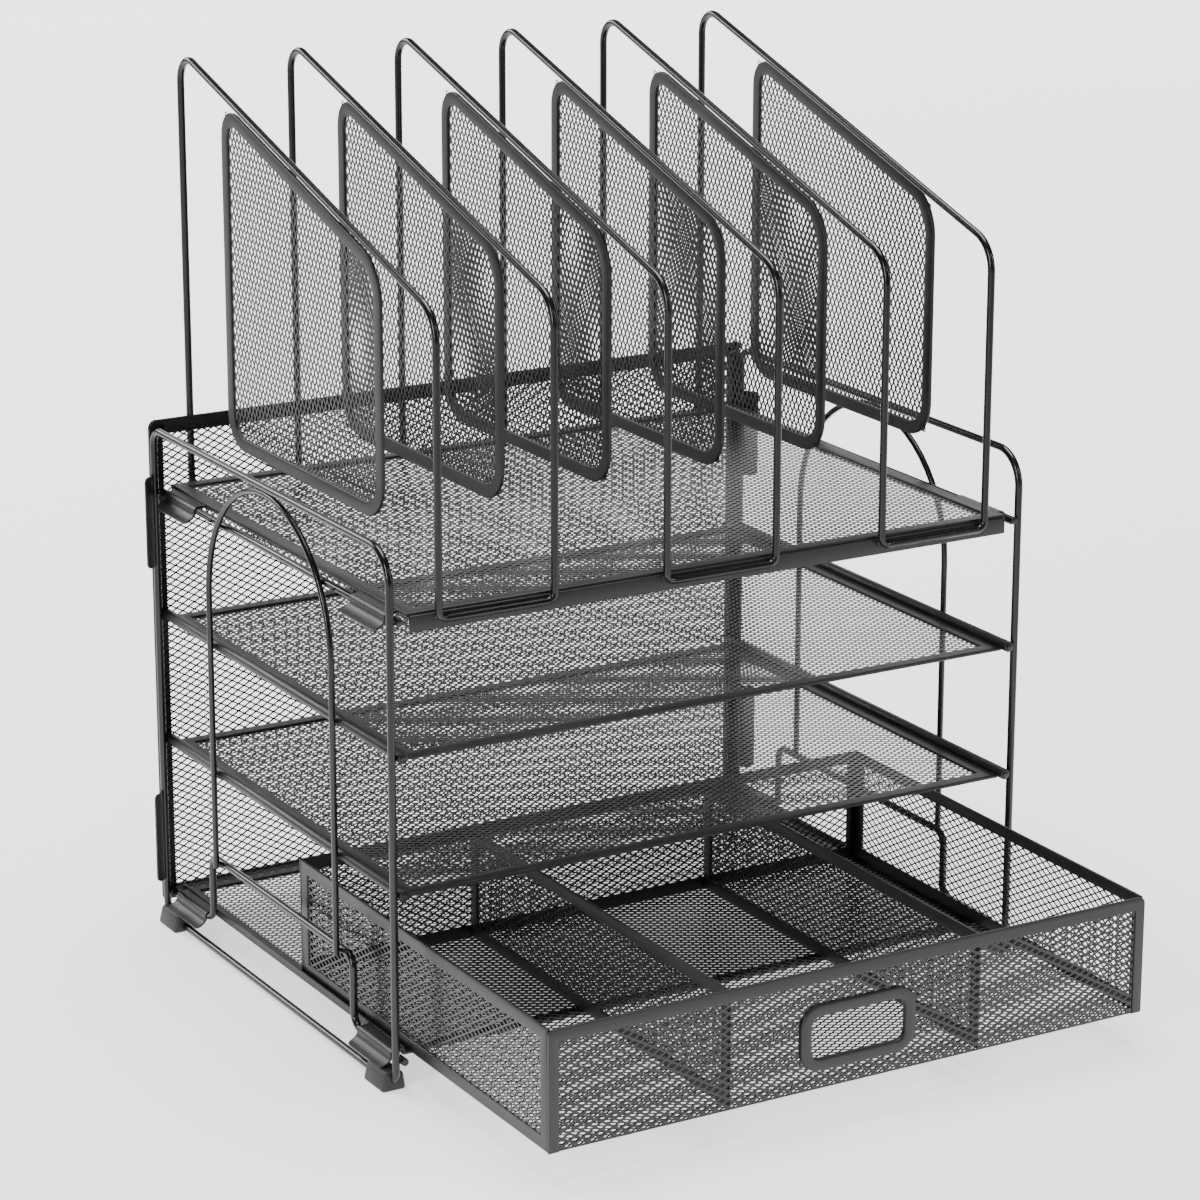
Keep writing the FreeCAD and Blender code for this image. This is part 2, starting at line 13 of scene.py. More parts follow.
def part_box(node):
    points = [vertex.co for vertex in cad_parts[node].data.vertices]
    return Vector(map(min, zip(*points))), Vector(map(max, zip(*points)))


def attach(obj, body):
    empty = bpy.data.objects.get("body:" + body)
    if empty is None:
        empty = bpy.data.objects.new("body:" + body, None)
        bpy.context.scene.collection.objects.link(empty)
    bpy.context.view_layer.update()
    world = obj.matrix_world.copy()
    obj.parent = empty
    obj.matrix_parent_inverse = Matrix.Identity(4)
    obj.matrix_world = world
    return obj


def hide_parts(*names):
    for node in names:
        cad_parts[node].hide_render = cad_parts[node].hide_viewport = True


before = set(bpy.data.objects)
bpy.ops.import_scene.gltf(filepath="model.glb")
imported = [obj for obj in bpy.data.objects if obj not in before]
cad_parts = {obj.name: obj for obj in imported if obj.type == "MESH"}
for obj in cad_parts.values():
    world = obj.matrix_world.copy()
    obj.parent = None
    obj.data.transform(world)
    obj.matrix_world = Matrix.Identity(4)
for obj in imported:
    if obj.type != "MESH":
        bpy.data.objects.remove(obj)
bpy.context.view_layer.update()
MM = 0.001


# Side frames. Each side is a closed loop of drawn steel wire with a hat-shaped base rail, an
# arch and a shelf wire spot-welded inside it. The whole frame is powder coated after welding,
# so the black film rounds every edge and fills the weld toes.
WIRE = 3.6 * MM
ARCH_WIRE = 3.0 * MM
WIRE_FACETS = 20
TOP_BEND = 16 * MM
TOP_BEND_REAR = 8 * MM
BASE_BEND = 8 * MM
RAIL_BEND = 6.5 * MM
RAIL_STUB_FRONT = 48 * MM
RAIL_STUB_REAR = 46.5 * MM
BEND_STEP = math.radians(7)
CUT_ROUND = 0.35 * MM  # tumbled ends of the cut wire
WELD_REACH = 1.5 * MM
WELD_FLATTEN = 0.62
COAT_GREY = "#0d0d0e"
COAT_RUBBED = "#161617"
COAT_ROUGHNESS = (0.17, 0.27)
COAT_IOR = 1.5
WIRE_PEEL = 0.35
PEEL_SIZE = 1.4 * MM  # real orange peel is about 0.4 mm, drawn coarser so that it still shows
PEEL_DEPTH = 0.05 * MM
CLOUD_SIZE = 26 * MM
CLOUD_EDGES = (0.38, 0.72)
CREASE = math.radians(38)  # flatter edges than this are smooth under the coat
TOUCH = 0.01 * MM  # closer than this is the same place
SEAL = 0.002 * MM  # points closer than this are joined


def linear(hex_colour):
    """An sRGB hex colour as linear red, green, blue and alpha."""
    channels = [int(hex_colour[i:i + 2], 16) / 255 for i in (1, 3, 5)]
    return [c / 12.92 if c <= 0.04045 else ((c + 0.055) / 1.055) ** 2.4 for c in channels] + [1.0]


def node(tree, kind, settings, links=()):
    """Adds a shader node, with its settings by property or socket name and its incoming links."""
    made = tree.nodes.new(kind)
    for key, value in settings.items():
        if isinstance(key, str) and hasattr(made, key):
            setattr(made, key, value)
        else:
            made.inputs[key].default_value = value
    for socket, source in links:
        tree.links.new(source, made.inputs[socket])
    return made


def powder_coat(name, colour, rubbed, roughness, peel):
    """Baked powder coat: satin film with fine orange peel and a faintly cloudy gloss."""
    material = bpy.data.materials.new(name)
    material.use_nodes = True
    tree = material.node_tree
    tree.nodes.clear()
    place = node(tree, "ShaderNodeTexCoord", {}).outputs["Object"]
    clouds = node(tree, "ShaderNodeTexNoise", {"Scale": 1 / CLOUD_SIZE, "Detail": 3.0},
                  [("Vector", place)])
    tint = node(tree, "ShaderNodeValToRGB", {}, [("Fac", clouds.outputs["Fac"])])
    for stop, edge, shade in zip(tint.color_ramp.elements, CLOUD_EDGES, (colour, rubbed)):
        stop.position = edge
        stop.color = linear(shade)
    gloss = node(tree, "ShaderNodeMapRange", {"To Min": roughness[0], "To Max": roughness[1]},
                 [("Value", clouds.outputs["Fac"])])
    bumps = node(tree, "ShaderNodeTexNoise", {"Scale": 1 / PEEL_SIZE, "Detail": 2.0},
                 [("Vector", place)])
    relief = node(tree, "ShaderNodeBump", {"Strength": peel, "Distance": PEEL_DEPTH},
                  [("Height", bumps.outputs["Fac"])])
    film = node(tree, "ShaderNodeBsdfPrincipled", {"IOR": COAT_IOR, "Metallic": 0.0},
                [("Base Color", tint.outputs["Color"]), ("Roughness", gloss.outputs["Result"]),
                 ("Normal", relief.outputs["Normal"])])
    node(tree, "ShaderNodeOutputMaterial", {}, [("Surface", film.outputs["BSDF"])])
    return material


# Powder coat on wire: a thick smooth film, which gives a narrow soft highlight along each wire.
coated_wire = powder_coat("powder_coated_wire", COAT_GREY, COAT_RUBBED, COAT_ROUGHNESS, WIRE_PEEL)


def finish_piece(name, mesh, body, material, replaced, crease=CREASE):
    """Turns a finished bmesh into a piece that rides on a body and stands for CAD nodes."""
    bmesh.ops.remove_doubles(mesh, verts=mesh.verts[:], dist=SEAL)
    bmesh.ops.recalc_face_normals(mesh, faces=mesh.faces[:])
    data = bpy.data.meshes.new(name)
    mesh.to_mesh(data)
    mesh.free()
    for face in data.polygons:
        face.use_smooth = True
    data.set_sharp_from_angle(angle=crease)
    data.materials.append(material)
    piece = bpy.data.objects.new(name, data)
    bpy.context.scene.collection.objects.link(piece)
    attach(piece, body)
    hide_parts(*replaced)


def ring_edges(geometry):
    """The edges among the geometry that an operator returns."""
    return [g for g in geometry if isinstance(g, bmesh.types.BMEdge)]


def draw_on(mesh, edges, offset):
    """Extrudes the open end of a wire by an offset and returns its new end."""
    drawn = bmesh.ops.extrude_edge_only(mesh, edges=edges)["geom"]
    ends = [g for g in drawn if isinstance(g, bmesh.types.BMVert)]
    bmesh.ops.translate(mesh, verts=ends, vec=offset)
    return ring_edges(drawn)


def add_wire(mesh, points, radii, diameter, closed=False):
    """A bent wire: a ring drawn along the straights and spun through the bends."""
    count = len(points)
    here = (points[-1] + points[0]) / 2 if closed else points[0]
    ahead = points[0] - here if closed else points[1] - points[0]
    turn_to = ahead.to_track_quat("Z", "Y").to_matrix().to_4x4()
    ring = bmesh.ops.create_circle(mesh, segments=WIRE_FACETS, radius=diameter / 2,
                                   cap_ends=not closed, matrix=Matrix.Translation(here) @ turn_to)["verts"]
    start = here.copy()
    edges = list({e for v in ring for e in v.link_edges})
    first = edges
    for i in range(count) if closed else range(1, count - 1):
        before = (points[i] - points[i - 1]).normalized()
        after = (points[(i + 1) % count] - points[i]).normalized()
        turn = before.angle(after)
        reach = radii[i] * math.tan(turn / 2)
        entry = points[i] - before * reach
        if (entry - here).length > TOUCH:
            edges = draw_on(mesh, edges, entry - here)
        centre = entry + (after - before * after.dot(before)).normalized() * radii[i]
        spun = bmesh.ops.spin(mesh, geom=edges, cent=centre, axis=before.cross(after).normalized(),
                              angle=turn, steps=max(2, round(turn / BEND_STEP)), use_merge=False)
        edges = ring_edges(spun["geom_last"])
        here = points[i] + after * reach
    edges = draw_on(mesh, edges, (start if closed else points[-1]) - here)
    if not closed:
        bmesh.ops.edgeloop_fill(mesh, edges=edges)
        bmesh.ops.bevel(mesh, geom=first + edges, offset=CUT_ROUND, segments=2, profile=0.5,
                        affect="EDGES", material=-1)


def add_weld(mesh, place, reach=WELD_REACH, flatten=(1, 1, WELD_FLATTEN)):
    """A spot weld's squeezed-out bead under the coating."""
    made = bmesh.ops.create_icosphere(mesh, subdivisions=2, radius=reach)["verts"]
    bmesh.ops.scale(mesh, vec=flatten, verts=made)
    bmesh.ops.translate(mesh, vec=place, verts=made)


for side in ("left", "right"):
    low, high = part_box(side + "_frame_loop")
    r = WIRE / 2
    x = (low.x + high.x) / 2
    post_front, post_rear = low.y + r, high.y - r
    loop_low, loop_top = low.z + r, high.z - r
    mesh = bmesh.new()
    add_wire(mesh, [Vector((x, post_front, loop_low)), Vector((x, post_rear, loop_low)),
                    Vector((x, post_rear, loop_top)), Vector((x, post_front, loop_top))],
             [BASE_BEND, BASE_BEND, TOP_BEND_REAR, TOP_BEND], WIRE, closed=True)
    finish_piece(side + "_loop_wire", mesh, "organizer", coated_wire,
                 [side + "_frame_loop"])

    low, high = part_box(side + "_arch")
    x = (low.x + high.x) / 2
    leg_front, leg_rear = low.y + ARCH_WIRE / 2, high.y - ARCH_WIRE / 2
    crown = high.z - ARCH_WIRE / 2
    half = (leg_rear - leg_front) / 2
    mesh = bmesh.new()
    add_wire(mesh, [Vector((x, leg_front, low.z)), Vector((x, leg_front, crown)),
                    Vector((x, leg_rear, crown)), Vector((x, leg_rear, low.z))],
             [0, half, half, 0], ARCH_WIRE)
    finish_piece(side + "_arch_wire", mesh, "organizer", coated_wire, [side + "_arch"])

    low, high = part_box(side + "_base_rail")
    x = (low.x + high.x) / 2
    stub, hat = low.z + r, high.z - r
    leg_a, leg_b = post_front + RAIL_STUB_FRONT, post_rear - RAIL_STUB_REAR
    mesh = bmesh.new()
    add_wire(mesh, [Vector((x, low.y, stub)), Vector((x, leg_a, stub)), Vector((x, leg_a, hat)),
                    Vector((x, leg_b, hat)), Vector((x, leg_b, stub)), Vector((x, high.y, stub))],
             [0, RAIL_BEND, RAIL_BEND, RAIL_BEND, RAIL_BEND, 0], WIRE)
    inward = 1 if side == "left" else -1
    for y in (post_front, post_rear):
        add_weld(mesh, Vector((x - inward * r, y, stub)))
    for y in (leg_front, leg_rear):
        add_weld(mesh, Vector((x - inward * r, y, hat)))
    finish_piece(side + "_rail_wire", mesh, "organizer", coated_wire,
                 [side + "_base_rail"])

    low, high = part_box(side + "_shelf_wire")
    x, z = (low.x + high.x) / 2, (low.z + high.z) / 2
    mesh = bmesh.new()
    add_wire(mesh, [Vector((x, low.y, z)), Vector((x, high.y, z))], [0, 0], WIRE)
    for y in (post_front, leg_front, leg_rear, post_rear):
        add_weld(mesh, Vector((x - inward * r, y, z)))
    finish_piece(side + "_shelf_rail", mesh, "organizer", coated_wire,
                 [side + "_shelf_wire"])


# Feet. Moulded plastic blocks pressed over the bottom wires near each post, flared outwards so
# that the organizer stands on four soft edges. The plastic is duller and greyer than the coat.
FOOT_ROUND = 1.5 * MM
FOOT_TOE = 4.5 * MM  # the shoe reaches on under the post
FOOT_TAPER_OUT = 2.2 * MM  # the outer face leans in by this much at the top
FOOT_TAPER_IN = 1.4 * MM
FOOT_GREY = "#161617"
FOOT_SCUFFED = "#262628"
FOOT_ROUGHNESS = (0.46, 0.6)
FOOT_GRAIN = 0.5

# Moulded polyethylene: a dull grey skin with a fine grain, scuffed paler in clouds.
moulded_foot = powder_coat("moulded_polyethylene_foot", FOOT_GREY, FOOT_SCUFFED, FOOT_ROUGHNESS, FOOT_GRAIN)

for end in ("front", "rear"):
    for side in ("left", "right"):
        name = end + "_" + side + "_foot"
        low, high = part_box(name)
        if end == "front":
            low.y -= FOOT_TOE
        else:
            high.y += FOOT_TOE
        mesh = bmesh.new()
        bmesh.ops.create_cube(mesh, size=1.0)
        bmesh.ops.scale(mesh, vec=high - low, verts=mesh.verts[:])
        bmesh.ops.translate(mesh, vec=(low + high) / 2, verts=mesh.verts[:])
        middle = (low + high) / 2
        outward = -1 if side == "left" else 1
        for v in [v for v in mesh.verts if v.co.z > middle.z]:
            outer = (v.co.x - middle.x) * outward > 0
            v.co.x -= outward * (FOOT_TAPER_OUT if outer else -FOOT_TAPER_IN)
        bmesh.ops.bevel(mesh, geom=mesh.edges[:], offset=FOOT_ROUND, segments=3, profile=0.5,
                        affect="EDGES", material=-1)
        finish_piece(name + "_cap", mesh, "organizer", moulded_foot, [name])


# Shelf and tray sheets. Expanded steel mesh, slit and stretched into flat diamonds 6.3 mm long,
# with the cut edges clamped in a folded steel strip. The coat thickens the strands.
LONG_WAY = 6.3 * MM
SHORT_WAY = 3.6 * MM
STRAND = 0.74 * MM
MESH_T = 0.32 * MM
UNDER_STRIP = 3.2 * MM  # the mesh runs this far into the folded strip
SCRAP_SHARE = 0.12  # cut pieces of a diamond under this share are left out
STRIP_ROUND = 0.55 * MM
SEAM_HALF = 0.3 * MM
SEAM_DEPTH = 0.45 * MM
STRIP_GREY = "#0f0f10"
STRIP_RUBBED = "#19191b"
STRIP_ROUGHNESS, STRIP_PEEL = (0.36, 0.5), 0.3
MESH_ROUGHNESS, MESH_PEEL = (0.22, 0.3), 0.2
FOLD_ANGLE = math.radians(60)  # sharper edges than this are folds
CUT_SLACK = 0.001 * MM  # a point this near to a cut lies on it

# Powder coat on folded strip: flatter light than on the wires, with soft clouds in its gloss.
coated_strip = powder_coat("powder_coated_strip", STRIP_GREY, STRIP_RUBBED, STRIP_ROUGHNESS, STRIP_PEEL)
# Powder coat on mesh: the film pools in the corners of the diamonds and shines on the strands.
coated_mesh = powder_coat("powder_coated_mesh", COAT_GREY, STRIP_GREY, MESH_ROUGHNESS, MESH_PEEL)

LEFT, RIGHT = Vector((-1, 0, 0)), Vector((1, 0, 0))
REARWARD, UP = Vector((0, 1, 0)), Vector((0, 0, 1))


def lying_at(z):
    """Place of a flat drawing that lies level."""
    return Matrix.Translation((0, 0, z))


def standing(u, origin):
    """Place of a flat drawing that stands upright, with u along its foot."""
    turned = Matrix((u, UP, u.cross(UP))).transposed().to_4x4()
    return Matrix.Translation(origin) @ turned


def facing_front(y):
    """Place of an upright drawing across the object."""
    return standing(RIGHT, (0, y, 0))


def facing_side(x):
    """Place of an upright drawing that runs from front to rear."""
    return standing(REARWARD, (x, 0, 0))


def rectangle(left, bottom, right, top, inset=0.0):
    """Corners of a rectangle in a flat drawing, moved in from its sides."""
    left, bottom, right, top = left + inset, bottom + inset, right - inset, top - inset
    return [Vector((left, bottom)), Vector((right, bottom)), Vector((right, top)), Vector((left, top))]


def merge_into(mesh, part, place):
    """Moves a part that was built flat into its place in a larger mesh."""
    bmesh.ops.transform(part, matrix=place, verts=part.verts[:])
    data = bpy.data.meshes.new("part")
    part.to_mesh(data)
    part.free()
    mesh.from_mesh(data)
    bpy.data.meshes.remove(data)


def centre_thickness(part):
    """Slides a thickened drawing so that it lies evenly about its plane."""
    heights = [v.co.z for v in part.verts]
    bmesh.ops.translate(part, vec=(0, 0, -(min(heights) + max(heights)) / 2), verts=part.verts[:])


def add_lattice(mesh, corners, place, grow=UNDER_STRIP, long_way=LONG_WAY, short_way=SHORT_WAY,
                strand=STRAND, leave=None):
    """Expanded mesh inside a convex outline: a grid sheared to diamonds, cut, inset and thickened."""
    part = bmesh.new()
    middle = sum(corners, Vector((0, 0))) / len(corners)
    span_u = max(c.x for c in corners) - min(c.x for c in corners) + 2 * grow
    span_v = max(c.y for c in corners) - min(c.y for c in corners) + 2 * grow
    cells = 2 * math.ceil((span_u / long_way + span_v / short_way) / 2) + 2
    bmesh.ops.create_grid(part, x_segments=cells, y_segments=cells, size=cells / 2)
    shear = Matrix(((long_way / 2, -long_way / 2, 0, middle.x),
                    (short_way / 2, short_way / 2, 0, middle.y),
                    (0, 0, 1, 0), (0, 0, 0, 1)))
    bmesh.ops.transform(part, matrix=shear, verts=part.verts[:])
    for i, corner in enumerate(corners):
        along = (corners[(i + 1) % len(corners)] - corner).normalized()
        outward = Vector((along.y, -along.x))
        edge = corner + outward * grow
        geometry = part.verts[:] + part.edges[:] + part.faces[:]
        bmesh.ops.bisect_plane(part, geom=geometry, dist=CUT_SLACK, plane_co=edge.to_3d(),
                               plane_no=outward.to_3d(), clear_outer=True)
    least = SCRAP_SHARE * long_way * short_way / 2
    scrap = [f for f in part.faces if f.calc_area() < least or (leave and leave(f.calc_center_median()))]
    bmesh.ops.delete(part, geom=scrap, context="FACES")
    holes = part.faces[:]
    bmesh.ops.inset_individual(part, faces=holes, thickness=strand / 2, use_even_offset=True)
    bmesh.ops.delete(part, geom=holes, context="FACES")
    bmesh.ops.solidify(part, geom=part.faces[:], thickness=MESH_T)
    centre_thickness(part)
    merge_into(mesh, part, place)


def thicken(part, thickness, fold_round):
    """Gives a flat drawing its thickness, centred on its plane, and rounds the folds."""
    bmesh.ops.solidify(part, geom=part.faces[:], thickness=thickness)
    centre_thickness(part)
    bmesh.ops.recalc_face_normals(part, faces=part.faces[:])
    folds = [e for e in part.edges if len(e.link_faces) == 2 and e.calc_face_angle() > FOLD_ANGLE
             and abs(e.verts[0].co.z - e.verts[1].co.z) < TOUCH]
    bmesh.ops.bevel(part, geom=folds, offset=fold_round, segments=3, profile=0.5, affect="EDGES",
                    material=-1)


def add_strip(mesh, corners, place, width, thickness, corner_round=0.0, seam=None,
              outer_round=STRIP_ROUND):
    """A folded strip round an outline: a ring of even width, thickened, with rounded folds."""
    part = bmesh.new()
    part.faces.new([part.verts.new(c.to_3d()) for c in corners])
    part.normal_update()
    if corner_round:
        bmesh.ops.bevel(part, geom=part.verts[:], offset=corner_round, segments=7, profile=0.5,
                        affect="VERTICES", material=-1)
    centre = part.faces[:]
    bmesh.ops.inset_individual(part, faces=centre, thickness=width, use_even_offset=True)
    bmesh.ops.delete(part, geom=centre, context="FACES")
    thicken(part, thickness, outer_round)
    if seam:
        cut_seam(part, *seam)
    merge_into(mesh, part, place)


def cut_seam(part, at, along, reach):
    """A shallow V across a strip, where its two ends meet."""
    for shift in (-SEAM_HALF, 0.0, SEAM_HALF):
        near = [f for f in part.faces if (f.calc_center_median().xy - at).length < reach]
        points = list({v for f in near for v in f.verts})
        edges = list({e for f in near for e in f.edges})
        bmesh.ops.bisect_plane(part, geom=points + edges + near, dist=CUT_SLACK,
                               plane_co=(at + along * shift).to_3d(), plane_no=along.to_3d())
    for v in part.verts:
        if abs((v.co.xy - at).dot(along)) < TOUCH and (v.co.xy - at).length < reach:
            v.co.z -= math.copysign(SEAM_DEPTH, v.co.z)


# Top shelf. The mesh tray that carries the sorter: its sides turn down in a narrow mesh skirt,
# and two clips on each side roll over the shelf wires.
SHELF_HEM = 6.5 * MM
SHELF_HEM_T = 2.0 * MM
SKIRT_T = 0.8 * MM
SKIRT_EDGE = 0.25 * MM
SKIRT_MIDDLE = 0.5 * MM  # the skirt's mesh, in from the shelf's edge
HOOK_T = 1.0 * MM
HOOK_LENGTH = 33 * MM
HOOK_SIDE_RUN = 1.4 * MM
HOOK_LIP_OUT = 5.2 * MM
HOOK_LIP_DROP = 3.4 * MM
HOOK_LEAD_LEAST = 0.2 * MM  # a shorter run from the shelf to the wire is left out
HOOK_STEPS = 8
HOOK_TIP_ROUND = 2.4 * MM
HOOK_LIP_SHARES = ((0.25, 0.42), (0.35, 0.33), (0.4, 0.25))  # of its reach out and of its drop
HOOK_CREASE = math.radians(50)


def add_bar(mesh, corner, opposite, edge_round):
    """A flat bar between two opposite corners, with its edges rounded by the coat."""
    made = bmesh.ops.create_cube(mesh, size=1.0)["verts"]
    size = opposite - corner
    bmesh.ops.scale(mesh, vec=[abs(d) for d in size], verts=made)
    bmesh.ops.translate(mesh, vec=(corner + opposite) / 2, verts=made)
    bmesh.ops.bevel(mesh, geom=list({e for v in made for e in v.link_edges}), offset=edge_round, segments=3,
                    profile=0.5, affect="EDGES", material=-1)


low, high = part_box("top_shelf_rim")
mesh_low, mesh_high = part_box("top_shelf_mesh")
place = lying_at(high.z - SHELF_HEM_T / 2)
mesh = bmesh.new()
add_strip(mesh, rectangle(low.x, low.y, high.x, high.y), place, SHELF_HEM, SHELF_HEM_T)
for x, inward in ((low.x, 1), (high.x, -1)):
    add_bar(mesh, Vector((x, low.y, low.z)),
            Vector((x + inward * SKIRT_T, high.y, low.z + SKIRT_T)), SKIRT_EDGE)
finish_piece("top_shelf_strip", mesh, "organizer", coated_strip, ["top_shelf_rim"])

mesh = bmesh.new()
add_lattice(mesh, rectangle(mesh_low.x, mesh_low.y, mesh_high.x, mesh_high.y), place)
for x in (low.x + SKIRT_MIDDLE, high.x - SKIRT_MIDDLE):
    add_lattice(mesh, rectangle(low.y, low.z, high.y, high.z - SHELF_HEM_T), facing_side(x), grow=0.0)
finish_piece("top_shelf_lattice", mesh, "organizer", coated_mesh, ["top_shelf_mesh"])


def add_hook(mesh, centre, out, up, length, lead):
    """A sheet clip: a line drawn over from the shelf, spun round the wire, then flared out as a lip."""
    along = out.cross(up).normalized()
    part = bmesh.new()
    root = centre + up * (WIRE + HOOK_T) / 2 - out * lead
    edges = [part.edges.new([part.verts.new(root + along * end * length / 2) for end in (-1, 1)])]
    if lead > HOOK_LEAD_LEAST:
        edges = draw_on(part, edges, out * lead)
    spun = bmesh.ops.spin(part, geom=edges, cent=centre, axis=up.cross(out).normalized(),
                          angle=math.pi / 2, steps=HOOK_STEPS, use_merge=False)
    edges = ring_edges(spun["geom_last"])
    edges = draw_on(part, edges, up * -HOOK_SIDE_RUN)
    for share_out, share_down in HOOK_LIP_SHARES:
        edges = draw_on(part, edges, out * (HOOK_LIP_OUT * share_out) - up * (HOOK_LIP_DROP * share_down))
    tips = list({v for e in edges for v in e.verts})
    bmesh.ops.bevel(part, geom=tips, offset=HOOK_TIP_ROUND, segments=5, profile=0.5, affect="VERTICES",
                    material=-1)
    bmesh.ops.recalc_face_normals(part, faces=part.faces[:])
    bmesh.ops.solidify(part, geom=part.faces[:], thickness=HOOK_T)
    merge_into(mesh, part, Matrix.Identity(4))


for shelf, wires in (("top", "_shelf_wire"), ("base", "_base_rail")):
    mesh = bmesh.new()
    clip_low, clip_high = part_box(shelf + "_shelf_hooks")
    shelf_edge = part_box(shelf + "_shelf_rim")[1].x
    for side, out in (("left", LEFT), ("right", RIGHT)):
        low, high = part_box(side + wires)
        x = (low.x + high.x) / 2
        z = (low.z + high.z) / 2 if shelf == "top" else low.z + WIRE / 2
        for y in (clip_low.y + HOOK_LENGTH / 2, clip_high.y - HOOK_LENGTH / 2):
            add_hook(mesh, Vector((x, y, z)), out, UP, HOOK_LENGTH, abs(x) - shelf_edge)
    finish_piece(shelf + "_shelf_clips", mesh, "organizer", coated_strip,
                 [shelf + "_shelf_hooks"], crease=HOOK_CREASE)


# Paper trays. Each tray's side edges are rolled round a wire that is welded between the posts,
# and a flat strip clamps the mesh along the front and rear.
TRAY_HEM = 6 * MM
TRAY_HEM_T = 1.8 * MM
TRAY_ROLL = 5.2 * MM
TRAY_ROD = 3.2 * MM
TRAY_LAP = 0.8 * MM  # the strip laps the edge of the mesh by this much

for tray in ("upper", "lower"):
    low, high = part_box(tray + "_tray_rim")
    rod_low, rod_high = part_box("right_" + tray + "_tray_rod")
    mesh_low, mesh_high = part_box(tray + "_tray_mesh")
    roll_x, z = (rod_low.x + rod_high.x) / 2, (rod_low.z + rod_high.z) / 2
    hem_z = (mesh_low.z + mesh_high.z) / 2
    reach = roll_x - TRAY_ROD / 2 - (TRAY_ROLL - TRAY_ROD) / 4
    outline = rectangle(-reach, mesh_low.y - TRAY_HEM, reach, mesh_high.y + TRAY_HEM)
    place = lying_at(hem_z)
    mesh = bmesh.new()
    add_strip(mesh, outline, place, TRAY_HEM + TRAY_LAP, TRAY_HEM_T)
    for x in (-roll_x, roll_x):
        add_wire(mesh, [Vector((x, low.y, z)), Vector((x, high.y, z))], [0, 0], TRAY_ROLL)
    finish_piece(tray + "_tray_strip", mesh, "organizer", coated_strip,
                 [tray + "_tray_rim"])
    mesh = bmesh.new()
    add_lattice(mesh, rectangle(mesh_low.x, mesh_low.y, mesh_high.x, mesh_high.y), place)
    finish_piece(tray + "_tray_lattice", mesh, "organizer", coated_mesh,
                 [tray + "_tray_mesh"])
    for side in ("left", "right"):
        low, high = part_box(side + "_" + tray + "_tray_rod")
        x = (low.x + high.x) / 2
        mesh = bmesh.new()
        add_wire(mesh, [Vector((x, low.y, z)), Vector((x, high.y, z))], [0, 0], TRAY_ROD)
        finish_piece(side + "_" + tray + "_tray_pin", mesh, "organizer", coated_wire,
                     [side + "_" + tray + "_tray_rod"])


# Base shelf. A mesh floor in a folded strip, on which the drawer slides. A low upright guide of
# sheet steel is folded up along each side, and the clips made above hold it on the base rails.
BASE_HEM_T = 1.8 * MM
BASE_GUIDE_T = 1.2 * MM
GUIDE_EDGE = 0.3 * MM

low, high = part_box("base_shelf_rim")
mesh_low, mesh_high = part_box("base_shelf_mesh")
hem_z = (mesh_low.z + mesh_high.z) / 2
place = lying_at(hem_z)
mesh = bmesh.new()
add_strip(mesh, rectangle(low.x, low.y, high.x, high.y), place, SHELF_HEM, BASE_HEM_T)
for x, inward in ((low.x, 1), (high.x, -1)):
    add_bar(mesh, Vector((x, low.y, hem_z)),
            Vector((x + inward * BASE_GUIDE_T, high.y, high.z)), GUIDE_EDGE)
finish_piece("base_shelf_strip", mesh, "organizer", coated_strip, ["base_shelf_rim"])
mesh = bmesh.new()
add_lattice(mesh, rectangle(mesh_low.x, mesh_low.y, mesh_high.x, mesh_high.y), place)
finish_piece("base_shelf_lattice", mesh, "organizer", coated_mesh, ["base_shelf_mesh"])


# Back panel. A mesh sheet in a wide folded strip with rounded corners, held to the rear posts
# by two long sheet clips on each side.
BACK_HEM = 7.3 * MM
BACK_HEM_T = 2.0 * MM
BACK_ROUND = 3.5 * MM
CLIP_LENGTH = 45 * MM
CLIP_SHARES = (0.147, 0.803)

low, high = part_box("back_panel_frame")
back_place = facing_front((low.y + high.y) / 2)
mesh = bmesh.new()
add_strip(mesh, rectangle(low.x, low.z, high.x, high.z), back_place, BACK_HEM, BACK_HEM_T, BACK_ROUND)
finish_piece("back_panel_strip", mesh, "organizer", coated_strip, ["back_panel_frame"])
mesh = bmesh.new()
add_lattice(mesh, rectangle(low.x, low.z, high.x, high.z, BACK_HEM), back_place)
finish_piece("back_panel_lattice", mesh, "organizer", coated_mesh, ["back_panel_mesh"])
mesh = bmesh.new()
for side, out in (("left", LEFT), ("right", RIGHT)):
    loop_low, loop_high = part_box(side + "_frame_loop")
    for share in CLIP_SHARES:
        z = low.z + share * (high.z - low.z)
        post = Vector(((loop_low.x + loop_high.x) / 2, loop_high.y - WIRE / 2, z))
        add_hook(mesh, post, out, REARWARD, CLIP_LENGTH, 0.0)
finish_piece("back_panel_clasps", mesh, "organizer", coated_strip, ["back_panel_clips"],
             crease=HOOK_CREASE)


# File sorter. Three closed wire loops stand on the top shelf, each with two slanted dividers.
# They are welded to a flat bar along the shelf's front edge and to the back panel's frame.
SORTER_WIRE = 3.5 * MM
FRONT_RISE = 129.7 * MM
REAR_RISE = 207.0 * MM
FRONT_BEND = 17 * MM
REAR_BEND = 11 * MM
FOOT_BEND = 4 * MM
BAR_HEIGHT = 6.6 * MM
BAR_END = 1.9 * MM  # the bar ends flush with the shelf
BAR_LAP = 0.9 * MM  # its top laps the shelf's folded strip
BAR_EDGE = 0.45 * MM
BAR_WELD = 1.2 * MM
BAR_WELD_FORM = (1, 0.6, 1.5)

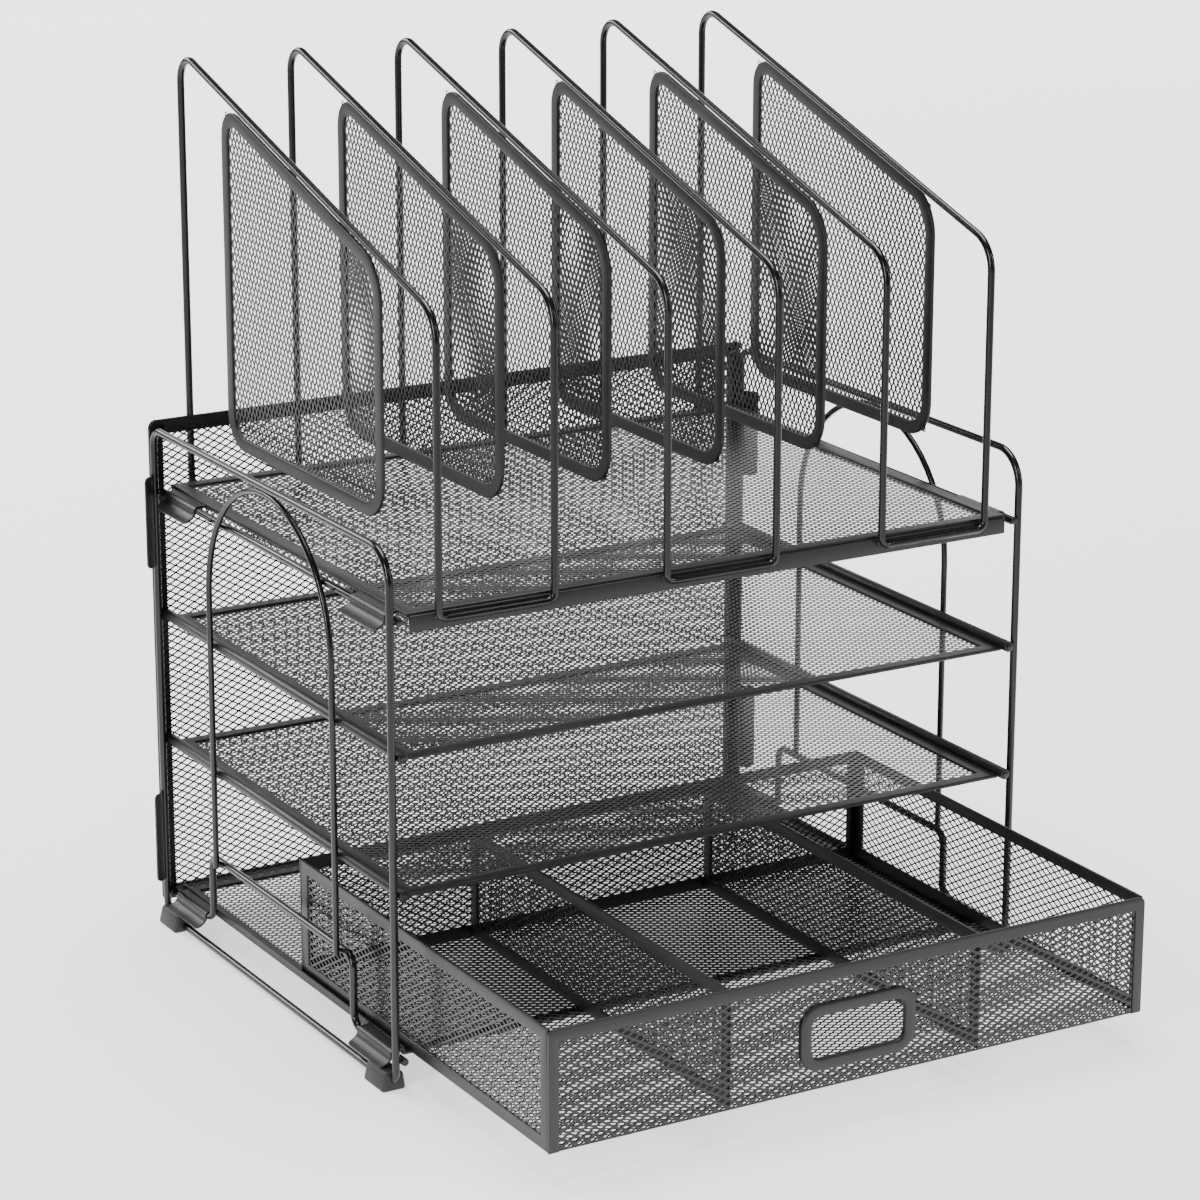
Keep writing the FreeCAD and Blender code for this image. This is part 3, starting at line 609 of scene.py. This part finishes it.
shelf_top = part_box("top_shelf_rim")[1].z
for pair in ("1", "2", "3"):
    low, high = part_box("sorter_loop_" + pair)
    r = SORTER_WIRE / 2
    xa, xb = low.x + r, high.x - r
    front, rear, foot = low.y + r, high.y - r, low.z + r
    side_line = [(front, foot), (front, shelf_top + FRONT_RISE), (rear, shelf_top + REAR_RISE), (rear, foot)]
    side_bends = [FOOT_BEND, FRONT_BEND, REAR_BEND, FOOT_BEND]
    points = [Vector((xa, y, z)) for y, z in side_line] + [Vector((xb, y, z)) for y, z in side_line[::-1]]
    mesh = bmesh.new()
    add_wire(mesh, points, side_bends + side_bends[::-1], SORTER_WIRE, closed=True)
    for x in (xa, xb):
        add_weld(mesh, Vector((x, front + r, foot + BAR_WELD)), BAR_WELD, BAR_WELD_FORM)
    finish_piece("sorter_wire_" + pair, mesh, "organizer", coated_wire,
                 ["sorter_loop_" + pair])

low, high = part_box("sorter_front_bar")
mesh = bmesh.new()
add_bar(mesh, Vector((low.x - BAR_END, low.y, high.z - BAR_HEIGHT)),
        Vector((high.x + BAR_END, high.y, high.z + BAR_LAP)), BAR_EDGE)
finish_piece("sorter_bar", mesh, "organizer", coated_strip, ["sorter_front_bar"])


# Divider panels. Mesh with its long way upright, clamped in a folded strip and tacked under the
# slanted wire. Only the second panel of each loop shows its three small welds from outside. The
# strip's two ends meet in a seam under the wire.
PANEL_HEM = 6.4 * MM
PANEL_HEM_T = 1.8 * MM
PANEL_ROUND = 17 * MM
PANEL_GAP = 2.0 * MM
PANEL_STRAND = 0.84 * MM
PANELS = 6
PANELS_PER_LOOP = 2
NUB_SHARES = (0.165, 0.544, 0.886)
NUB_R = 1.0 * MM
NUB_FORM = (0.8, 2.1, 1.0)
NUB_RISE = 0.5 * MM
SEAM_SHARE = 0.47
SEAM_REACH = 1.4 * PANEL_HEM


def under_wire(y, front, slope):
    """Height of a panel's top edge, a gap under the slanted wire."""
    return shelf_top + FRONT_RISE + slope * (y - front) - PANEL_GAP * math.hypot(1, slope)


def moved_in(corners, width):
    """An outline moved in by a width, corner by corner."""
    inner = []
    for i, corner in enumerate(corners):
        before = (corner - corners[i - 1]).normalized()
        after = (corners[(i + 1) % len(corners)] - corner).normalized()
        in_before, in_after = Vector((-before.y, before.x)), Vector((-after.y, after.x))
        slide = (width - width * in_before.dot(in_after)) / before.dot(in_after)
        inner.append(corner + in_before * width + before * slide)
    return inner


for k in range(PANELS):
    low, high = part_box("sorter_panel_frame_" + str(k + 1))
    loop_low, loop_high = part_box("sorter_loop_" + str(k // PANELS_PER_LOOP + 1))
    front, rear = loop_low.y + SORTER_WIRE / 2, loop_high.y - SORTER_WIRE / 2
    slope = (REAR_RISE - FRONT_RISE) / (rear - front)
    x = (low.x + high.x) / 2
    corners = [Vector((low.y, low.z)), Vector((high.y, low.z)),
               Vector((high.y, under_wire(high.y, front, slope))),
               Vector((low.y, under_wire(low.y, front, slope)))]
    seam_y = low.y + SEAM_SHARE * (high.y - low.y)
    seam_at = Vector((seam_y, under_wire(seam_y, front, slope)))
    mesh = bmesh.new()
    add_strip(mesh, corners, facing_side(x), PANEL_HEM, PANEL_HEM_T, PANEL_ROUND,
              seam=(seam_at, Vector((1, slope)).normalized(), SEAM_REACH))
    for share in NUB_SHARES if k % PANELS_PER_LOOP else ():
        y = low.y + share * (high.y - low.y)
        tab = bmesh.ops.create_uvsphere(mesh, u_segments=12, v_segments=8, radius=NUB_R)["verts"]
        bmesh.ops.scale(mesh, vec=NUB_FORM, verts=tab)
        bmesh.ops.rotate(mesh, cent=(0, 0, 0), matrix=Matrix.Rotation(math.atan(slope), 3, "X"), verts=tab)
        bmesh.ops.translate(mesh, vec=(x, y, under_wire(y, front, slope) + NUB_RISE), verts=tab)
    finish_piece("sorter_divider_strip_" + str(k + 1), mesh, "organizer", coated_strip,
                 ["sorter_panel_frame_" + str(k + 1)])
    mesh = bmesh.new()
    add_lattice(mesh, moved_in(corners, PANEL_HEM), facing_side(x), long_way=SHORT_WAY, short_way=LONG_WAY,
                strand=PANEL_STRAND)
    finish_piece("sorter_divider_lattice_" + str(k + 1), mesh, "organizer", coated_mesh,
                 ["sorter_panel_mesh_" + str(k + 1)])


# Drawer front. Mesh with a strip along the top and both sides, and a pressed steel ring round
# the finger pull. The bottom of the mesh turns under to become the drawer's floor.
DRAWER_HEM = 6 * MM
DRAWER_SIDE_HEM = 5 * MM
DRAWER_HEM_T = 1.8 * MM
DRAWER_ROUND = 3 * MM
FRONT_STRAND = 1.0 * MM  # the front is stretched less, so its strands are wider
FRONT_TUCK = 0.3 * MM  # its mesh runs this far under the strip
FRONT_FOLD = 0.5 * MM
PULL_RIM = 5.6 * MM
PULL_ROUND = 10 * MM
PULL_EDGE = 0.9 * MM
PULL_HOLD_SHARE = 0.6  # the mesh reaches this share of the ring's width in from its outside

low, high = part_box("drawer_front_frame")
front_place = facing_front((low.y + high.y) / 2)
under = high.z - DRAWER_HEM
leg_a, leg_b = low.x + DRAWER_SIDE_HEM, high.x - DRAWER_SIDE_HEM
outline = [(low.x, low.z), (leg_a, low.z), (leg_a, under), (leg_b, under), (leg_b, low.z),
           (high.x, low.z), (high.x, high.z), (low.x, high.z)]
part = bmesh.new()
part.faces.new([part.verts.new((x, z, 0)) for x, z in outline])
upper_corners = [v for v in part.verts if v.co.y > under + TOUCH]
bmesh.ops.bevel(part, geom=upper_corners, offset=DRAWER_ROUND, segments=6, profile=0.5,
                affect="VERTICES", material=-1)
part.normal_update()
thicken(part, DRAWER_HEM_T, FRONT_FOLD)
mesh = bmesh.new()
merge_into(mesh, part, front_place)
finish_piece("drawer_front_strip", mesh, "drawer", coated_strip, ["drawer_front_frame"])

pull_low, pull_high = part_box("drawer_pull")
mesh = bmesh.new()
add_strip(mesh, rectangle(pull_low.x, pull_low.z, pull_high.x, pull_high.z),
          facing_front((pull_low.y + pull_high.y) / 2), PULL_RIM, pull_high.y - pull_low.y, PULL_ROUND,
          outer_round=PULL_EDGE)
finish_piece("drawer_pull_ring", mesh, "drawer", coated_strip, ["drawer_pull"])


def inside_pull(place):
    """Whether a diamond of the front lies in the opening of the pull."""
    hold = PULL_RIM * PULL_HOLD_SHARE
    return (pull_low.x + hold < place.x < pull_high.x - hold
            and pull_low.z + hold < place.y < pull_high.z - hold)


mesh = bmesh.new()
add_lattice(mesh, rectangle(leg_a, low.z + FRONT_FOLD, leg_b, under), front_place, grow=FRONT_TUCK,
            strand=FRONT_STRAND, leave=inside_pull)
finish_piece("drawer_front_lattice", mesh, "drawer", coated_mesh, ["drawer_front_mesh"])


# Drawer box. Side walls, rear wall and two partitions, each a length of mesh clamped in a folded
# steel strip on all four sides. They stand on the mesh floor, welded to it and to each other.
for wall in ("left", "right", "left_partition", "right_partition", "rear"):
    low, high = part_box("drawer_" + wall + "_frame")
    if wall == "rear":
        place, first, last = facing_front((low.y + high.y) / 2), low.x, high.x
    else:
        place, first, last = facing_side((low.x + high.x) / 2), low.y, high.y
    mesh = bmesh.new()
    add_strip(mesh, rectangle(first, low.z, last, high.z), place, DRAWER_HEM, DRAWER_HEM_T)
    finish_piece("drawer_" + wall + "_strip", mesh, "drawer", coated_strip,
                 ["drawer_" + wall + "_frame"])
    mesh = bmesh.new()
    add_lattice(mesh, rectangle(first, low.z, last, high.z, DRAWER_HEM), place)
    finish_piece("drawer_" + wall + "_lattice", mesh, "drawer", coated_mesh,
                 ["drawer_" + wall + "_mesh"])

low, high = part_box("drawer_floor_mesh")
mesh = bmesh.new()
add_lattice(mesh, rectangle(low.x, low.y, high.x, high.y), lying_at((low.z + high.z) / 2), grow=0.0)
finish_piece("drawer_floor_lattice", mesh, "drawer", coated_mesh, ["drawer_floor_mesh"])


# Floor of the studio. A pale matt sheet of acrylic with a painted glow, though it is no lamp. It glows in a
# strip along the view, so that it stays white there, and is dim elsewhere, so that it does not grey the
# coat.
FLOOR_HALF = 6.0
FLOOR_WHITE = "#f4f4f4"
FLOOR_ROUGHNESS = 0.9
FLOOR_GLOW = 2.6
GLOW_UNDER = 1.2  # near the organizer the overhead box lights the floor instead
GLOW_RISE = (0.3, 3.0)  # from the organizer, the glow grows between these distances
GLOW_DIM = 0.1  # share of the glow that is left outside the strip
GLOW_ALONG, GLOW_SIDEWAYS = (0.5, 0.866, 0), (0.866, -0.5, 0)
GLOW_NEAR, GLOW_HALF, GLOW_WIDENS, GLOW_FADE = 0.33, 0.32, 0.147, 0.35  # the strip's outline and soft edge

mesh = bmesh.new()
bmesh.ops.create_grid(mesh, x_segments=1, y_segments=1, size=FLOOR_HALF)
data = bpy.data.meshes.new("studio_floor")
mesh.to_mesh(data)
mesh.free()
floor = bpy.data.objects.new("studio_floor", data)
bpy.context.scene.collection.objects.link(floor)
acrylic = bpy.data.materials.new("studio_acrylic_painted_glow")
acrylic.use_nodes = True
tree = acrylic.node_tree
sheet = tree.nodes["Principled BSDF"]
sheet.inputs["Base Color"].default_value = linear(FLOOR_WHITE)
sheet.inputs["Roughness"].default_value = FLOOR_ROUGHNESS
# Painted glow: the sheet's emission, shaped by the sums below, stands in for light that no lamp gives.
sheet.inputs["Emission Color"].default_value = linear(FLOOR_WHITE)


def reckon(operation, first, second=None, fixed=None, kind="ShaderNodeMath"):
    """One sum in the floor's glow, of a value with a second value or a fixed one."""
    settings = {"operation": operation}
    if fixed is not None:
        settings[1] = fixed
    made = node(tree, kind, settings, [(0, first)] + ([(1, second)] if second else []))
    return made.outputs["Value"]


def fade(value, start, end, at_start, at_end):
    """Runs from one strength to another while a value passes between two places."""
    return node(tree, "ShaderNodeMapRange", {"From Min": start, "From Max": end, "To Min": at_start,
                                             "To Max": at_end}, [("Value", value)]).outputs["Result"]


flat = node(tree, "ShaderNodeTexCoord", {}).outputs["Object"]
beside = reckon("DOT_PRODUCT", flat, fixed=GLOW_SIDEWAYS, kind="ShaderNodeVectorMath")
beyond = reckon("DOT_PRODUCT", flat, fixed=GLOW_ALONG, kind="ShaderNodeVectorMath")
away = reckon("LENGTH", flat, kind="ShaderNodeVectorMath")
past_side = reckon("ADD", reckon("ABSOLUTE", beside), reckon("MULTIPLY", beyond, fixed=-GLOW_WIDENS))
side_share = fade(past_side, GLOW_HALF, GLOW_HALF + GLOW_FADE, 1.0, GLOW_DIM)
front_share = fade(beyond, -GLOW_NEAR - GLOW_FADE, -GLOW_NEAR, GLOW_DIM, 1.0)
strength = fade(away, GLOW_RISE[0], GLOW_RISE[1], GLOW_UNDER, FLOOR_GLOW)
glow = reckon("MULTIPLY", reckon("MULTIPLY", side_share, front_share), strength)
tree.links.new(glow, sheet.inputs["Emission Strength"])
data.materials.append(acrylic)


# Studio light. An overhead box lights the floor without hard shadows, panels behind lighten what
# faces up, and narrow strip boxes draw the lines along the wires. Dim walls keep the coat dark.
WALLS = 0.05
world = bpy.data.worlds.new("studio")
world.use_nodes = True
world.node_tree.nodes["Background"].inputs["Color"].default_value = (1, 1, 1, 1)
world.node_tree.nodes["Background"].inputs["Strength"].default_value = WALLS
bpy.context.scene.world = world

BODY_AIM, FLOOR_AIM = (0, 0, 0.2), (0.1, 0.3, 0)
# Name, place, aim, width, height and radiance of each soft box.
SOFT_BOXES = (
    ("overhead", (0.1, 0.3, 2.4), FLOOR_AIM, 1.6, 1.6, 10.0),
    ("rear_panel", (1.9, 3.6, 1.3), BODY_AIM, 3.4, 1.8, 1.8),
    ("left_rear", (-1.3, 2.6, 1.45), BODY_AIM, 1.8, 1.2, 8.0),
    ("left_strip", (-2.6, -1.3, 1.3), BODY_AIM, 0.22, 1.8, 42.0),
    ("right_strip", (2.2, -2.0, 1.2), BODY_AIM, 0.2, 1.6, 18.0),
    ("front_strip", (-0.4, -2.6, 2.0), BODY_AIM, 1.2, 0.2, 7.0),
)
for name, spot, target, wide, high, radiance in SOFT_BOXES:
    lamp = bpy.data.lights.new(name, "AREA")
    lamp.shape = "RECTANGLE"
    lamp.size, lamp.size_y = wide, high
    lamp.energy = radiance * math.pi * wide * high
    holder = bpy.data.objects.new(name, lamp)
    holder.location = spot
    holder.rotation_euler = (Vector(target) - Vector(spot)).to_track_quat("-Z", "Y").to_euler()
    bpy.context.scene.collection.objects.link(holder)


# Camera. A long lens from the front left and a little above, about 1.9 m away. Its view is slid
# a little, which puts the organizer near the middle of the square picture.
AZIMUTH, ELEVATION, ROLL = math.radians(-30.15), math.radians(16.463), math.radians(0.051)
CAMERA_PLACE = Vector((-0.9251, -1.5525, 0.7348))
LENS_LENGTH, SENSOR_WIDTH = 122.27, 36
LENS_SHIFT = (0.0007, -0.0252)

back = Vector((math.sin(AZIMUTH) * math.cos(ELEVATION), -math.cos(AZIMUTH) * math.cos(ELEVATION),
               math.sin(ELEVATION)))
level = (-back).cross(UP).normalized()
upward = level.cross(-back)
across = level * math.cos(ROLL) + upward * math.sin(ROLL)
above = upward * math.cos(ROLL) - level * math.sin(ROLL)
lens = bpy.data.cameras.new("view")
lens.lens, lens.sensor_width = LENS_LENGTH, SENSOR_WIDTH
lens.shift_x, lens.shift_y = LENS_SHIFT
camera = bpy.data.objects.new("view", lens)
camera.matrix_world = Matrix(((across.x, above.x, back.x, CAMERA_PLACE.x),
                              (across.y, above.y, back.y, CAMERA_PLACE.y),
                              (across.z, above.z, back.z, CAMERA_PLACE.z), (0, 0, 0, 1)))
bpy.context.scene.collection.objects.link(camera)
bpy.context.scene.camera = camera
